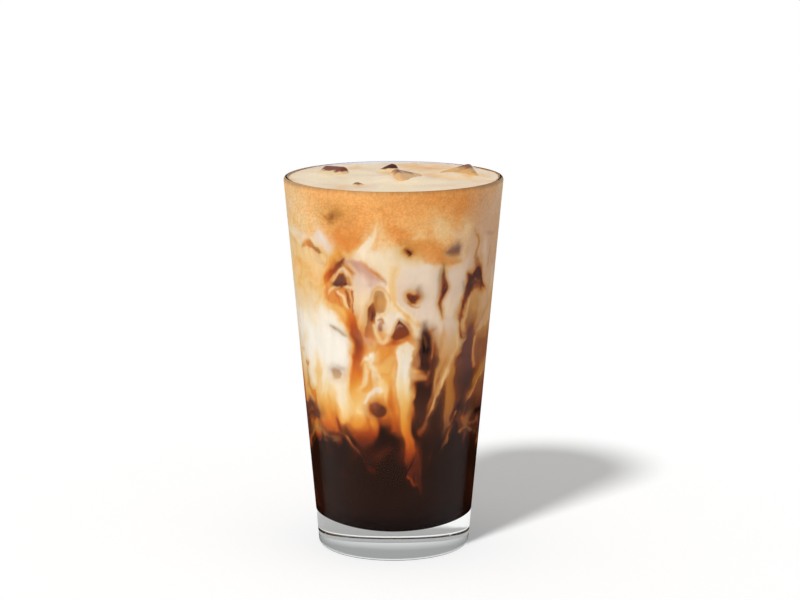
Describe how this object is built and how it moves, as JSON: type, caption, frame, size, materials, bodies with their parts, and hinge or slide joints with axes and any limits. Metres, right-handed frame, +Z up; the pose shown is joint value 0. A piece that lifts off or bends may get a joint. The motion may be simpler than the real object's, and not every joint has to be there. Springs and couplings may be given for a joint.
{
  "type": "iced shaken espresso",
  "caption": "Layered iced coffee with milk in a clear tapered tumbler, with espresso foam and floating ice cubes at the brim.",
  "frame": {"origin": "middle of the foot of the tumbler, on the table", "axes": "+Z up along the tumbler's axis, +X to the right and +Y away from the drinker"},
  "size_m": [0.089, 0.089, 0.1565],
  "materials": {
    "tumbler_glass": "clear polished soda-lime glass",
    "coffee": "dark coffee, near black with a red-brown edge",
    "milk": "milk marbled with espresso",
    "foam": "fine espresso foam",
    "ice": "wet ice stained by coffee"
  },
  "bodies": {
    "root": {"glass": "tumbler_glass", "coffee": "coffee", "milk": "milk", "foam": "foam", "ice_1": "ice", "ice_2": "ice", "ice_3": "ice", "ice_4": "ice", "ice_5": "ice"}
  },
  "joints": []
}
